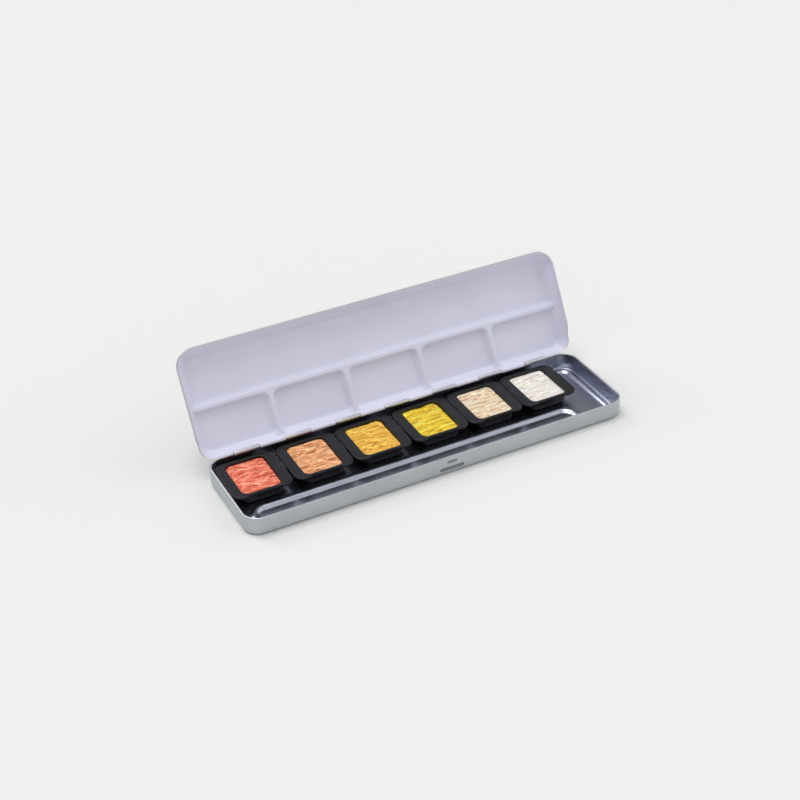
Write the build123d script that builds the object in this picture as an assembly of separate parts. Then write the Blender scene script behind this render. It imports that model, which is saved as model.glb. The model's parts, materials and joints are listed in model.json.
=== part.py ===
"""Hinged watercolour tin with six lift-out pans, in millimetres.

Frame: +X along the tin's length, +Y to the hinge side, +Z up. The origin is the centre of the
tray's underside. The tin is modelled standing open, with its lid against its open stop.
"""
from build123d import *
from math import cos, radians, sin
import os

# Pressed sheet and the tray
SHEET = 0.4
TRAY_LENGTH = 225.0
TRAY_DEPTH = 59.0
TRAY_HEIGHT = 10.75
TRAY_CORNER = 9.0
TRAY_BOTTOM_RADIUS = 1.8
HEM_WIDTH = 1.1
HEM_HEIGHT = 1.1

# Beads pressed up into the tray's floor
BORDER_INSET = 4.0
BORDER_HALF_WIDTH = 1.9
BORDER_HEIGHT = 1.0
RIB_HALF_WIDTH = 2.8
RIB_HEIGHT = 1.3
RIB_LEFT = -103.5
RIB_RIGHT = 89.0
RIB_FROM_FRONT = 21.1
RIB_CORNER = 7.5

# Nail groove and catch pip on the tray's front wall
NOTCH_X = 3.0
GROOVE_LENGTH = 15.0
GROOVE_HEIGHT = 2.4
GROOVE_DEPTH = 0.5
GROOVE_Z = 3.4
PIP_LENGTH = 5.0
PIP_HEIGHT = 1.4
PIP_STAND = 0.2
PIP_Z = 7.6

# Hinge
PIN_RADIUS = 0.75
RUNNING_FIT = 0.05
BARREL_RADIUS = PIN_RADIUS + RUNNING_FIT + SHEET
KNUCKLES = 13
KNUCKLE_PITCH = 14.85
KNUCKLE_GAP = 0.3
BARREL_CLEARANCE = 0.25
HINGE_RISE = 0.25
HINGE_Y = TRAY_DEPTH / 2 - BARREL_RADIUS
HINGE_Z = TRAY_HEIGHT + HINGE_RISE
OPEN_ANGLE = 119.2

# Lid, in its own closed frame: the hinge axis is x, the front is at -y, and z is up
LID_OVERHANG = 2.2
LID_LENGTH = TRAY_LENGTH + 2 * LID_OVERHANG
LID_REACH = HINGE_Y + TRAY_DEPTH / 2 + LID_OVERHANG
LID_REAR = -1.8
LID_CORNER = 10.0
SKIRT_BOTTOM = -2.0
SLOPE_BOTTOM = -1.0
SLOPE_RUN = 0.75
LID_HEM_WIDTH = 1.2
CREST_Z = 3.2
WELL_FLOOR_Z = 6.2
WELL_CORNER = 2.0
WELL_COUNT = 5
WELL_PITCH = 44.8
RIDGE_FOOT = 6.5
LONG_RIDGE = 27.5
RELIEF_START = 17.0
RELIEF_END = 9.5
REAR_TRIM_FRONT = 2.9
REAR_TRIM_BACK = -2.7
REAR_TRIM_HEIGHT = 3.2
TAB_TOP = 2.0

# Pans and the paint in them
PAN_COUNT = 6
PAN_WIDTH = 34.0
PAN_DEPTH = 33.0
PAN_CORNER = 5.5
PAN_TOP = 8.2
FLANGE_THICKNESS = 1.2
PAN_CENTRE_Y = 10.15
FIRST_PAN_X = -93.2
PAN_GAPS = (0.9, 0.7, 0.7, 0.2, 0.2)
CUP_WIDTH = 24.0
CUP_DEPTH = 30.0
CUP_CORNER = 4.2
CUP_WALL = 0.75
CUP_FLOOR = 1.0
CUP_DRAFT = 0.15
CUP_BOTTOM_RADIUS = 2.4
CUP_OFFSET_Y = 0.15
LIFT_NOTCH_WIDTH = 16.5
LIFT_NOTCH_DEPTH = 0.9
LIFT_NOTCH_SLOPE = 3.0
SIDE_NICK_RADIUS = 0.8
SIDE_NICK_Y = 9.0
PAINT_TOP = 7.6
PAINT_SHRINKAGE = 0.2
PAINT_NAMES = ("coral", "copper", "gold", "lemon", "champagne", "pearl")

# How far cutting shapes run past what they cut
EPS = 0.1
CUT_MARGIN = 1.0


def block(x0, x1, y0, y1, z0, z1):
    """A box between two opposite corners."""
    return Pos((x0 + x1) / 2, (y0 + y1) / 2, (z0 + z1) / 2) * Box(x1 - x0, y1 - y0, z1 - z0)


def slab(width, depth, radius, z0, z1):
    """A rounded rectangle about the origin, standing from z0 to z1."""
    return Pos(0, 0, z0) * extrude(RectangleRounded(width, depth, radius), z1 - z0)


def frustum(x0, x1, y0, y1, radius, z0, z1, grow):
    """A rounded rectangle at z0 that has grown on every side by grow when it reaches z1."""
    width = x1 - x0
    depth = y1 - y0
    centre = ((x0 + x1) / 2, (y0 + y1) / 2)
    low = Pos(*centre, z0) * RectangleRounded(width, depth, radius)
    high = Pos(*centre, z1) * RectangleRounded(width + 2 * grow, depth + 2 * grow, radius + grow)
    return loft([low, high], ruled=True)


def cylinder_x(radius, x0, x1):
    """A cylinder about the x axis."""
    return Pos((x0 + x1) / 2, 0, 0) * Rot(0, 90, 0) * Cylinder(radius, x1 - x0)


def arch(half_width, height, base):
    """A section with an arched top: local x across the bead, local y up."""
    left = (-half_width, base)
    right = (half_width, base)
    return make_face([ThreePointArc(left, (0, base + height), right), Line(right, left)])


def bead(path, half_width, height, base):
    """An arched section swept along a flat path."""
    start = path @ 0
    tangent = path % 0
    section_plane = Plane(origin=(start.X, start.Y, 0), x_dir=Vector(0, 0, 1).cross(tangent), z_dir=tangent)
    return sweep(section_plane * arch(half_width, height, base), path=path)


def pressed_bead(path, half_width, height):
    """The bead's upper bump, and the hollow that pressing leaves under it."""
    radius = (half_width**2 + height**2) / (2 * height)
    centre_z = SHEET + height - radius
    under_half_width = ((radius - SHEET) ** 2 - (centre_z + EPS) ** 2) ** 0.5
    bump = bead(path, half_width, height, SHEET)
    hollow = bead(path, under_half_width, height + EPS, -EPS)
    return bump, hollow


def knuckle_span(index):
    """The x range of one hinge knuckle, counted from the left."""
    x0 = (index - KNUCKLES / 2) * KNUCKLE_PITCH
    return x0 + KNUCKLE_GAP / 2, x0 + KNUCKLE_PITCH - KNUCKLE_GAP / 2


TRAY_KNUCKLES = range(0, KNUCKLES, 2)
LID_KNUCKLES = range(1, KNUCKLES, 2)
HINGE_HALF = KNUCKLES * KNUCKLE_PITCH / 2


def rib_path():
    """Centre line of the rib that closes off the brush trough, with rounded ends."""
    front = -TRAY_DEPTH / 2 + BORDER_INSET
    back = -TRAY_DEPTH / 2 + RIB_FROM_FRONT
    corners = [(RIB_LEFT, front), (RIB_LEFT, back), (RIB_RIGHT, back), (RIB_RIGHT, front)]
    return FilletPolyline(*corners, radius=RIB_CORNER)


def border_path():
    """Centre line of the bead that runs round the tray's floor."""
    width = TRAY_LENGTH - 2 * BORDER_INSET
    depth = TRAY_DEPTH - 2 * BORDER_INSET
    return RectangleRounded(width, depth, TRAY_CORNER - BORDER_INSET).wire()


def rounded_bottom(width, depth, corner, z0, z1, radius):
    """A rounded slab whose lower edge is rounded too."""
    solid = slab(width, depth, corner, z0, z1)
    return fillet(solid.faces().sort_by(Axis.Z)[0].edges(), radius)


def make_tray():
    """Pressed tray with a hemmed rim, floor beads, front groove and its hinge knuckles."""
    inner_length = TRAY_LENGTH - 2 * SHEET
    inner_depth = TRAY_DEPTH - 2 * SHEET
    shell = rounded_bottom(TRAY_LENGTH, TRAY_DEPTH, TRAY_CORNER, 0, TRAY_HEIGHT, TRAY_BOTTOM_RADIUS)
    shell -= rounded_bottom(
        inner_length, inner_depth, TRAY_CORNER - SHEET, SHEET, TRAY_HEIGHT + EPS, TRAY_BOTTOM_RADIUS - SHEET
    )
    hem = slab(TRAY_LENGTH, TRAY_DEPTH, TRAY_CORNER, TRAY_HEIGHT - HEM_HEIGHT, TRAY_HEIGHT)
    hem -= slab(
        TRAY_LENGTH - 2 * HEM_WIDTH,
        TRAY_DEPTH - 2 * HEM_WIDTH,
        TRAY_CORNER - HEM_WIDTH,
        TRAY_HEIGHT - HEM_HEIGHT - EPS,
        TRAY_HEIGHT + EPS,
    )
    tray = shell + hem

    border_bump, border_hollow = pressed_bead(border_path(), BORDER_HALF_WIDTH, BORDER_HEIGHT)
    rib_bump, rib_hollow = pressed_bead(rib_path(), RIB_HALF_WIDTH, RIB_HEIGHT)
    tray = tray + border_bump + rib_bump - border_hollow - rib_hollow

    # The rim is cut away along the hinge, lower where the lid's knuckles turn
    rear = TRAY_DEPTH / 2
    clear_rim = HINGE_HALF + KNUCKLE_GAP
    hem_floor = TRAY_HEIGHT - HEM_HEIGHT - EPS
    hem_front = rear - HEM_WIDTH - EPS
    tray -= block(-clear_rim, clear_rim, hem_front, rear - SHEET, hem_floor, TRAY_HEIGHT + EPS)
    notch_floor = HINGE_Z - BARREL_RADIUS - BARREL_CLEARANCE
    tray -= block(-clear_rim, clear_rim, hem_front, rear + EPS, notch_floor, TRAY_HEIGHT + EPS)
    for index in TRAY_KNUCKLES:
        x0, x1 = knuckle_span(index)
        tray += block(x0, x1, rear - SHEET, rear, notch_floor - EPS, HINGE_Z)
        tray += Pos(0, HINGE_Y, HINGE_Z) * cylinder_x(BARREL_RADIUS, x0, x1)
    tray -= Pos(0, HINGE_Y, HINGE_Z) * cylinder_x(BARREL_RADIUS - SHEET, -HINGE_HALF, HINGE_HALF)

    # Nail groove pressed in and catch pip raised on the front wall
    front_plane = Plane(origin=(NOTCH_X, -TRAY_DEPTH / 2, 0), x_dir=(1, 0, 0), z_dir=(0, -1, 0))
    groove_back = front_plane * Pos(0, GROOVE_Z, -GROOVE_DEPTH - SHEET) * extrude(
        SlotOverall(GROOVE_LENGTH + 2 * SHEET, GROOVE_HEIGHT + 2 * SHEET), GROOVE_DEPTH + SHEET
    )
    groove = front_plane * Pos(0, GROOVE_Z, -GROOVE_DEPTH) * extrude(
        SlotOverall(GROOVE_LENGTH, GROOVE_HEIGHT), GROOVE_DEPTH + EPS
    )
    pip = front_plane * Pos(0, PIP_Z, -SHEET / 2) * extrude(
        SlotOverall(PIP_LENGTH, PIP_HEIGHT), SHEET / 2 + PIP_STAND
    )
    return tray + groove_back - groove + pip


def well_rectangles():
    """Floor rectangles (x0, x1, y0, y1) of the lid's five small wells and its long one."""
    half_length = LID_LENGTH / 2 - slope_width(WELL_FLOOR_Z) - sheet_across_slope()
    hinge_side = -LID_REAR - slope_width(WELL_FLOOR_Z) - sheet_across_slope()
    free_side = -LID_REACH + slope_width(WELL_FLOOR_Z) + sheet_across_slope()
    ridge_near = -LONG_RIDGE + RIDGE_FOOT / 2
    ridge_far = -LONG_RIDGE - RIDGE_FOOT / 2
    wells = [(-half_length, half_length, free_side, ridge_far)]
    for index in range(WELL_COUNT):
        left = (index - WELL_COUNT / 2) * WELL_PITCH + RIDGE_FOOT / 2
        right = left + WELL_PITCH - RIDGE_FOOT
        if index == 0:
            left = -half_length
        if index == WELL_COUNT - 1:
            right = half_length
        wells.append((left, right, ridge_near, hinge_side))
    return wells


def slope_width(z):
    """How far the lid's slope has come inward at height z."""
    return (z - SLOPE_BOTTOM) * SLOPE_RUN


def sheet_across_slope():
    """The sheet's thickness measured level across the slope."""
    return SHEET * (1 + SLOPE_RUN**2) ** 0.5


def sheet_round_bend():
    """How far the outer face stands out of the inner one at a well's floor edge."""
    return sheet_across_slope() - SHEET * SLOPE_RUN


def lid_frustum(inset, top, radius):
    """The lid's sloping outline, from its widest at SLOPE_BOTTOM up to top."""
    run = slope_width(top)
    return frustum(
        -LID_LENGTH / 2 + inset + run,
        LID_LENGTH / 2 - inset - run,
        -LID_REACH + inset + run,
        -LID_REAR - inset - run,
        radius - inset - run,
        top,
        SLOPE_BOTTOM,
        run,
    )


def make_lid_closed():
    """Pressed lid in its closed frame: hemmed skirt, sloping sides, six wells and its knuckles."""
    outer = lid_frustum(0, CREST_Z + SHEET, LID_CORNER)
    cavity = lid_frustum(sheet_across_slope(), CREST_Z, LID_CORNER)
    drop = WELL_FLOOR_Z - CREST_Z
    for x0, x1, y0, y1 in well_rectangles():
        grow = sheet_round_bend()
        outer += frustum(
            x0 - grow, x1 + grow, y0 - grow, y1 + grow, WELL_CORNER + grow, WELL_FLOOR_Z + SHEET, CREST_Z + SHEET,
            drop * SLOPE_RUN,
        )
        cavity += frustum(x0, x1, y0, y1, WELL_CORNER, WELL_FLOOR_Z, CREST_Z, drop * SLOPE_RUN)

    centre_y = -(LID_REACH + LID_REAR) / 2
    depth = LID_REACH - LID_REAR
    hem = slab(LID_LENGTH, depth, LID_CORNER, SKIRT_BOTTOM, SLOPE_BOTTOM)
    hem -= slab(
        LID_LENGTH - 2 * LID_HEM_WIDTH,
        depth - 2 * LID_HEM_WIDTH,
        LID_CORNER - LID_HEM_WIDTH,
        SKIRT_BOTTOM - EPS,
        SLOPE_BOTTOM + EPS,
    )
    lid = outer - cavity + Pos(0, centre_y, 0) * hem

    # The skirt stops short of the hinge, and the rear edge is trimmed to stand clear behind the open tray
    half = LID_LENGTH / 2 + CUT_MARGIN
    relief = Polyline(
        (-RELIEF_START, SKIRT_BOTTOM - EPS),
        (-RELIEF_END, 0),
        (-REAR_TRIM_FRONT, 0),
        (-REAR_TRIM_BACK, REAR_TRIM_HEIGHT),
        (-REAR_TRIM_BACK, SKIRT_BOTTOM - EPS),
        close=True,
    )
    lid -= Pos(-half, 0, 0) * extrude(Plane.YZ * make_face(relief), 2 * half)

    # Each knuckle hangs from a tab of the rear slope that was left long
    tab_base = BARREL_RADIUS - SHEET
    base_y = -LID_REAR - slope_width(tab_base)
    top_y = -LID_REAR - slope_width(TAB_TOP)
    across = sheet_across_slope()
    tab = Polyline(
        (base_y, tab_base), (top_y, TAB_TOP), (top_y - across, TAB_TOP), (base_y - across, tab_base), close=True
    )
    for index in LID_KNUCKLES:
        x0, x1 = knuckle_span(index)
        lid += Pos(x0, 0, 0) * extrude(Plane.YZ * make_face(tab), x1 - x0)
        lid += cylinder_x(BARREL_RADIUS, x0, x1)
    return lid - cylinder_x(BARREL_RADIUS - SHEET, -HINGE_HALF, HINGE_HALF)


def make_pin():
    """Hinge wire through all the knuckles."""
    reach = HINGE_HALF - KNUCKLE_GAP / 2
    return Pos(0, HINGE_Y, HINGE_Z) * cylinder_x(PIN_RADIUS, -reach, reach)


def cup(inset, z0, z1):
    """The drafted cup's outline, stepped in by inset, between two heights of the pan."""
    low = inset + CUP_DRAFT * (PAN_TOP - z0)
    grow = CUP_DRAFT * (z1 - z0)
    half_width = CUP_WIDTH / 2 - low
    front = CUP_OFFSET_Y - CUP_DEPTH / 2 + low
    back = CUP_OFFSET_Y + CUP_DEPTH / 2 - low
    return frustum(-half_width, half_width, front, back, CUP_CORNER - low, z0, z1, grow)


def make_pan():
    """Moulded pan about its own centre: a wide flange, notched at the front and right, over a cup."""
    flange_z = PAN_TOP - FLANGE_THICKNESS
    flange = slab(PAN_WIDTH, PAN_DEPTH, PAN_CORNER, flange_z, PAN_TOP)
    inner_half = LIFT_NOTCH_WIDTH / 2
    outer_half = inner_half + LIFT_NOTCH_SLOPE
    front = -PAN_DEPTH / 2
    notch = Polyline(
        (-outer_half, front - EPS),
        (outer_half, front - EPS),
        (outer_half, front),
        (inner_half, front + LIFT_NOTCH_DEPTH),
        (-inner_half, front + LIFT_NOTCH_DEPTH),
        (-outer_half, front),
        close=True,
    )
    flange -= Pos(0, 0, flange_z - EPS) * extrude(make_face(notch), FLANGE_THICKNESS + 2 * EPS)
    flange -= Pos(PAN_WIDTH / 2, SIDE_NICK_Y, flange_z) * Cylinder(SIDE_NICK_RADIUS, 4 * FLANGE_THICKNESS)
    body = cup(0, SHEET, PAN_TOP)
    body = fillet(body.faces().sort_by(Axis.Z)[0].edges(), CUP_BOTTOM_RADIUS)
    return flange + body - cup(CUP_WALL, SHEET + CUP_FLOOR, PAN_TOP + EPS)


def make_paint():
    """The paint block standing in the cup, shrunk clear of its walls in drying."""
    return cup(CUP_WALL + PAINT_SHRINKAGE, SHEET + CUP_FLOOR, PAINT_TOP)


def pan_places():
    """The x of each pan's centre, the pans standing side by side with small gaps."""
    places = [FIRST_PAN_X]
    for gap in PAN_GAPS:
        places.append(places[-1] + PAN_WIDTH + gap)
    return places


def save(shape, node):
    """Write one node's STEP file."""
    export_step(shape, f"parts/{node}.step")


os.makedirs("parts", exist_ok=True)
save(make_tray(), "base_tray")
save(Pos(0, HINGE_Y, HINGE_Z) * Rot(-OPEN_ANGLE, 0, 0) * make_lid_closed(), "lid")
save(make_pin(), "hinge_pin")
for number, (x, colour) in enumerate(zip(pan_places(), PAINT_NAMES), start=1):
    place = Pos(x, PAN_CENTRE_Y, 0)
    save(place * make_pan(), f"pan_{number}")
    save(place * make_paint(), f"paint_{colour}")
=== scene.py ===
"""Looks of the hinged watercolour tin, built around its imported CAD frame. Lengths are in millimetres."""

import bpy
import json
import numpy as np
from math import cos, pi, radians, sin
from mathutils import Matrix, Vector


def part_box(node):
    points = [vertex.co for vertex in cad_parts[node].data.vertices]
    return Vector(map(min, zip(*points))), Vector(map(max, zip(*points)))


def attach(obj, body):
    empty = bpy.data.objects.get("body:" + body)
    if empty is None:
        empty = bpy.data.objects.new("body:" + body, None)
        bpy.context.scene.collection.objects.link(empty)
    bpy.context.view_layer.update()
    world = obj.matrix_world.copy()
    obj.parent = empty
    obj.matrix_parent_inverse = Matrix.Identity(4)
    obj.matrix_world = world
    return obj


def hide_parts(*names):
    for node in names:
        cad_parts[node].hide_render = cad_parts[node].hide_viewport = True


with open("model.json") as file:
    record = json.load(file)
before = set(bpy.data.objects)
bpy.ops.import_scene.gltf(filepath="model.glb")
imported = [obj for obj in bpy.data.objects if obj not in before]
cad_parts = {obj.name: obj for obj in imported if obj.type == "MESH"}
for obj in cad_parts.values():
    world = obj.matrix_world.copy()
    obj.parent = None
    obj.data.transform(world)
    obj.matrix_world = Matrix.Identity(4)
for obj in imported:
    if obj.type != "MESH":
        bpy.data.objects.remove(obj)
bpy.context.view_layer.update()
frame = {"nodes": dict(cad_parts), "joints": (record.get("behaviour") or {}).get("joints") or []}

MM = 0.001


def node_box(node):
    """A node's lowest and highest corners, in millimetres."""
    low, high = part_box(node)
    return np.array(low) / MM, np.array(high) / MM


# Sizes shared by several pieces
SHEET = 0.4
tray_low, tray_high = node_box("base_tray")
pin_low, pin_high = node_box("hinge_pin")
TRAY_LENGTH = tray_high[0] - tray_low[0]
HINGE_Y = (pin_low[1] + pin_high[1]) / 2
HINGE_Z = (pin_low[2] + pin_high[2]) / 2
HINGE_RISE = 0.25
BARREL = tray_high[2] - HINGE_Z
TRAY_REAR = tray_high[1]
TRAY_FRONT = -TRAY_REAR
TRAY_DEPTH = TRAY_REAR - TRAY_FRONT
TRAY_HEIGHT = HINGE_Z - HINGE_RISE
TRAY_CORNER = 9.0
OPEN_ANGLE = radians(-min(j["range_deg"][0] for j in frame["joints"] if j["name"] == "lid_hinge"))
KNUCKLES = 13
KNUCKLE_GAP = 0.3
KNUCKLE_PITCH = (pin_high[0] - pin_low[0] + KNUCKLE_GAP) / KNUCKLES
TRAY_KNUCKLES = range(0, KNUCKLES, 2)
LID_KNUCKLES = range(1, KNUCKLES, 2)
CURL_STEPS = 40

# Steps between the lines of a sheet's grid where it bends
FINE_STEP = 0.4

# Two places nearer than this are one place
TOUCH = 1e-6

# Allowance for rounding where a place is compared with an edge
SLACK = 0.01

# A normal's part along an axis from which a side counts as square to that axis
SQUARE = 0.99


# ---------------------------------------------------------------- meshes


def build_mesh(name, verts, faces):
    """A smooth mesh object from points in millimetres."""
    mesh = bpy.data.meshes.new(name)
    mesh.from_pydata([tuple(p) for p in np.asarray(verts) * MM], [], [tuple(f) for f in faces])
    mesh.validate()
    mesh.update()
    obj = bpy.data.objects.new(name, mesh)
    bpy.context.scene.collection.objects.link(obj)
    for polygon in mesh.polygons:
        polygon.use_smooth = True
    return obj


def spaced(low, high, coarse, fine, zones, stops=()):
    """Line places from low to high: fine steps inside the zones and coarse ones elsewhere."""
    ends = sorted({high, *stops, *(edge for zone in zones for edge in zone)})
    places = [low]
    while places[-1] < high - TOUCH:
        here = places[-1]
        step = fine if any(a - TOUCH <= here < b - TOUCH for a, b in zones) else coarse
        following = [e for e in ends if e > here + TOUCH]
        places.append(min(here + step, following[0]))
    return np.array(places)


def smooth_min(a, b, radius):
    """The smaller of two heights, with the bend between them rounded."""
    mix = np.clip(0.5 + 0.5 * (b - a) / radius, 0, 1)
    return b + (a - b) * mix - radius * mix * (1 - mix)


def smooth_max(a, b, radius):
    """The larger of two heights, with the bend between them rounded."""
    return -smooth_min(-a, -b, radius)


def smooth_step(t):
    """0 to 1 with level ends."""
    t = np.clip(t, 0, 1)
    return t * t * (3 - 2 * t)


def box_distance(x, y, half_x, half_y, radius):
    """Signed distance to a rounded rectangle about the origin, positive inside."""
    qx = np.abs(x) - half_x + radius
    qy = np.abs(y) - half_y + radius
    outside = np.hypot(np.maximum(qx, 0), np.maximum(qy, 0))
    return radius - outside - np.minimum(np.maximum(qx, qy), 0)


def arc(centre, radius, start, end, steps):
    """Points on an arc, angles in degrees."""
    angles = np.radians(np.linspace(start, end, steps + 1))
    return [(centre[0] + radius * cos(a), centre[1] + radius * sin(a)) for a in angles]


def band(first, second):
    """Quads between two closed rings of point numbers."""
    n = len(first)
    return [(first[k], second[k], second[(k + 1) % n], first[(k + 1) % n]) for k in range(n)]


def tube_faces(rings):
    """Faces of a tube through rings of point numbers, closed at both ends."""
    faces = [tuple(rings[0])[::-1], tuple(rings[-1])]
    for first, second in zip(rings, rings[1:]):
        faces += band(second, first)
    return faces


class Panel:
    """A grid fitted to a rounded rectangle, with the ring of points round its border."""

    def __init__(self, xs, ys, radius):
        half_x = xs[-1]
        half_y = ys[-1]
        self.columns = len(xs)
        self.rows = len(ys)
        x, y = np.meshgrid(xs, ys)
        a = np.clip(np.abs(x) - half_x + radius, 0, None) / radius
        b = np.clip(np.abs(y) - half_y + radius, 0, None) / radius
        corner = (a > 0) & (b > 0)
        round_a = np.where(corner, a * np.sqrt(1 - b * b / 2), a)
        round_b = np.where(corner, b * np.sqrt(1 - a * a / 2), b)
        self.x = (np.sign(x) * (np.minimum(np.abs(x), half_x - radius) + round_a * radius)).ravel()
        self.y = (np.sign(y) * (np.minimum(np.abs(y), half_y - radius) + round_b * radius)).ravel()
        last_column = self.columns - 1
        last_row = self.rows - 1
        ring = [(i, 0) for i in range(last_column)]
        ring += [(last_column, j) for j in range(last_row)]
        ring += [(i, last_row) for i in range(last_column, 0, -1)]
        ring += [(0, j) for j in range(last_row, 0, -1)]
        self.ring = np.array([j * self.columns + i for i, j in ring])
        ring_x = self.x[self.ring]
        ring_y = self.y[self.ring]
        nx = np.sign(ring_x) * np.maximum(np.abs(ring_x) - half_x + radius, 0)
        ny = np.sign(ring_y) * np.maximum(np.abs(ring_y) - half_y + radius, 0)
        length = np.hypot(nx, ny)
        self.ring_normal = np.column_stack([nx / length, ny / length])
        self.ring_point = np.column_stack([ring_x, ring_y])

    def faces(self, start=0, flip=False):
        """The grid's quads."""
        quads = []
        for j in range(self.rows - 1):
            for i in range(self.columns - 1):
                a = start + j * self.columns + i
                quad = (a, a + 1, a + self.columns + 1, a + self.columns)
                quads.append(quad[::-1] if flip else quad)
        return quads

    def loop(self, outward, height):
        """The border pushed outward by a distance, at a height; each may differ from point to point."""
        outward = np.broadcast_to(outward, len(self.ring))
        height = np.broadcast_to(height, len(self.ring))
        flat = self.ring_point + self.ring_normal * outward[:, None]
        return np.column_stack([flat, height])

    def shell(self, top, loops, under):
        """Points and faces of the grid at height top, joined through loops to itself at height under."""
        n = len(self.ring)
        count = len(self.x)
        bottom = count + len(loops) * n
        rings = [self.ring]
        rings += [count + k * n + np.arange(n) for k in range(len(loops))]
        rings += [bottom + self.ring]
        faces = self.faces()
        for first, second in zip(rings, rings[1:]):
            faces += band(first, second)
        faces += self.faces(bottom, flip=True)
        upper, lower = [np.column_stack([self.x, self.y, height]) for height in (top, under)]
        return np.concatenate([upper, *loops, lower]), faces


def knuckle_span(index):
    """The x range of one hinge knuckle, counted from the left."""
    x0 = (index - KNUCKLES / 2) * KNUCKLE_PITCH
    return x0 + KNUCKLE_GAP / 2, x0 + KNUCKLE_PITCH - KNUCKLE_GAP / 2


END_EASE = 0.06
END_SCALE = 0.988


def extruded_strip(profile, spans, name):
    """One closed (y, z) outline drawn along x over each span, with capped and slightly eased ends."""
    outline = np.array(profile)
    centre = outline.mean(0)
    eased = centre + (outline - centre) * END_SCALE
    verts = []
    faces = []
    for x0, x1 in spans:
        sections = [(x0, eased), (x0 + END_EASE, outline), (x1 - END_EASE, outline), (x1, eased)]
        rings = len(verts) + np.arange(len(sections) * len(outline)).reshape(len(sections), -1)
        faces += tube_faces(rings)
        for x, section in sections:
            verts += [(x, y, z) for y, z in section]
    return build_mesh(name, verts, faces)


def shade_by_angle(obj, degrees):
    """Smooth shading, kept sharp at bends over an angle."""
    bpy.context.view_layer.objects.active = obj
    obj.select_set(True)
    bpy.ops.object.shade_smooth_by_angle(angle=radians(degrees))
    obj.select_set(False)


def flip_outward(obj):
    """Makes every face look out of its closed shell."""
    bpy.context.view_layer.objects.active = obj
    obj.select_set(True)
    bpy.ops.object.mode_set(mode="EDIT")
    bpy.ops.mesh.select_all(action="SELECT")
    bpy.ops.mesh.normals_make_consistent(inside=False)
    bpy.ops.object.mode_set(mode="OBJECT")
    obj.select_set(False)


# ---------------------------------------------------------------- materials

# The middle part of a noise's range, where nearly all its values lie
NOISE_LOW = 0.3
NOISE_HIGH = 0.7


class Material:
    """A Principled material with short ways to add procedural detail."""

    def __init__(self, name, color, roughness, metallic=0.0):
        self.material = bpy.data.materials.new(name)
        self.material.use_nodes = True
        self.tree = self.material.node_tree
        self.shader = self.tree.nodes["Principled BSDF"]
        self.set("Base Color", (*color, 1))
        self.set("Roughness", roughness)
        self.set("Metallic", metallic)
        self.place = self.node("ShaderNodeTexCoord").outputs["Object"]

    def node(self, kind, **settings):
        """A new node with its settings."""
        made = self.tree.nodes.new(kind)
        for key, value in settings.items():
            setattr(made, key, value)
        return made

    def link(self, source, target):
        """Joins two sockets."""
        self.tree.links.new(source, target)

    def drive(self, socket, source):
        """Feeds the shader's socket from another node's output."""
        self.link(source, self.shader.inputs[socket])

    def set(self, socket, value):
        """A constant on the shader's own socket."""
        self.shader.inputs[socket].default_value = value

    def noise(self, size, detail, stretch=(1, 1, 1)):
        """Noise whose features are about size millimetres across, drawn out along an axis by stretch."""
        mapping = self.node("ShaderNodeMapping")
        mapping.inputs["Scale"].default_value = [1 / s for s in stretch]
        self.link(self.place, mapping.inputs["Vector"])
        noise = self.node("ShaderNodeTexNoise")
        noise.inputs["Scale"].default_value = 1 / (size * MM)
        noise.inputs["Detail"].default_value = detail
        self.link(mapping.outputs["Vector"], noise.inputs["Vector"])
        return noise.outputs["Fac"]

    def between(self, noise, low, high):
        """Maps a noise onto the range low to high."""
        ranged = self.node("ShaderNodeMapRange")
        ranged.inputs["From Min"].default_value = NOISE_LOW
        ranged.inputs["From Max"].default_value = NOISE_HIGH
        ranged.inputs["To Min"].default_value = low
        ranged.inputs["To Max"].default_value = high
        self.link(noise, ranged.inputs["Value"])
        return ranged.outputs["Result"]

    def colors(self, fac, stops):
        """A colour ramp through (position, colour) stops."""
        ramp = self.node("ShaderNodeValToRGB")
        elements = ramp.color_ramp.elements
        while len(elements) < len(stops):
            elements.new(0.5)
        for element, (position, color) in zip(elements, stops):
            element.position = position
            element.color = (*color, 1)
        self.link(fac, ramp.inputs["Fac"])
        return ramp.outputs["Color"]

    def bump(self, heights):
        """Bumps from (height socket, depth in millimetres, strength) triples, one on another."""
        normal = None
        for height, depth, strength in heights:
            bump = self.node("ShaderNodeBump")
            bump.inputs["Distance"].default_value = depth * MM
            bump.inputs["Strength"].default_value = strength
            self.link(height, bump.inputs["Height"])
            if normal is not None:
                self.link(normal, bump.inputs["Normal"])
            normal = bump.outputs["Normal"]
        self.drive("Normal", normal)


def tinplate_inside():
    """Bright tinplate with rolling streaks along the sheet and a faint waviness."""
    dark = (0.40, 0.425, 0.51)
    light = (0.52, 0.545, 0.635)
    m = Material("bright_tinplate", (0.50, 0.52, 0.58), roughness=0.27, metallic=1.0)
    streaks = m.noise(size=0.35, detail=4, stretch=(60, 1, 1))
    patches = m.noise(size=14, detail=3)
    m.drive("Base Color", m.colors(streaks, [(0.3, dark), (0.7, light)]))
    m.drive("Roughness", m.between(patches, 0.25, 0.32))
    m.bump([(m.noise(size=12, detail=1), 0.02, 0.25), (streaks, 0.002, 0.2)])
    return m.material


def satin_tin(name, color, smooth=0.36, rough=0.48):
    """Satin tin with a fine, even grain, as on the outside of the sheet."""
    shade = 0.93
    dark = [c * shade for c in color]
    m = Material(name, color, roughness=(smooth + rough) / 2, metallic=1.0)
    grain = m.noise(size=0.12, detail=4)
    clouds = m.noise(size=16, detail=3)
    m.drive("Base Color", m.colors(clouds, [(0.35, dark), (0.65, color)]))
    m.drive("Roughness", m.between(grain, smooth, rough))
    m.bump([(grain, 0.01, 0.25), (clouds, 0.03, 0.2)])
    return m.material


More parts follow.
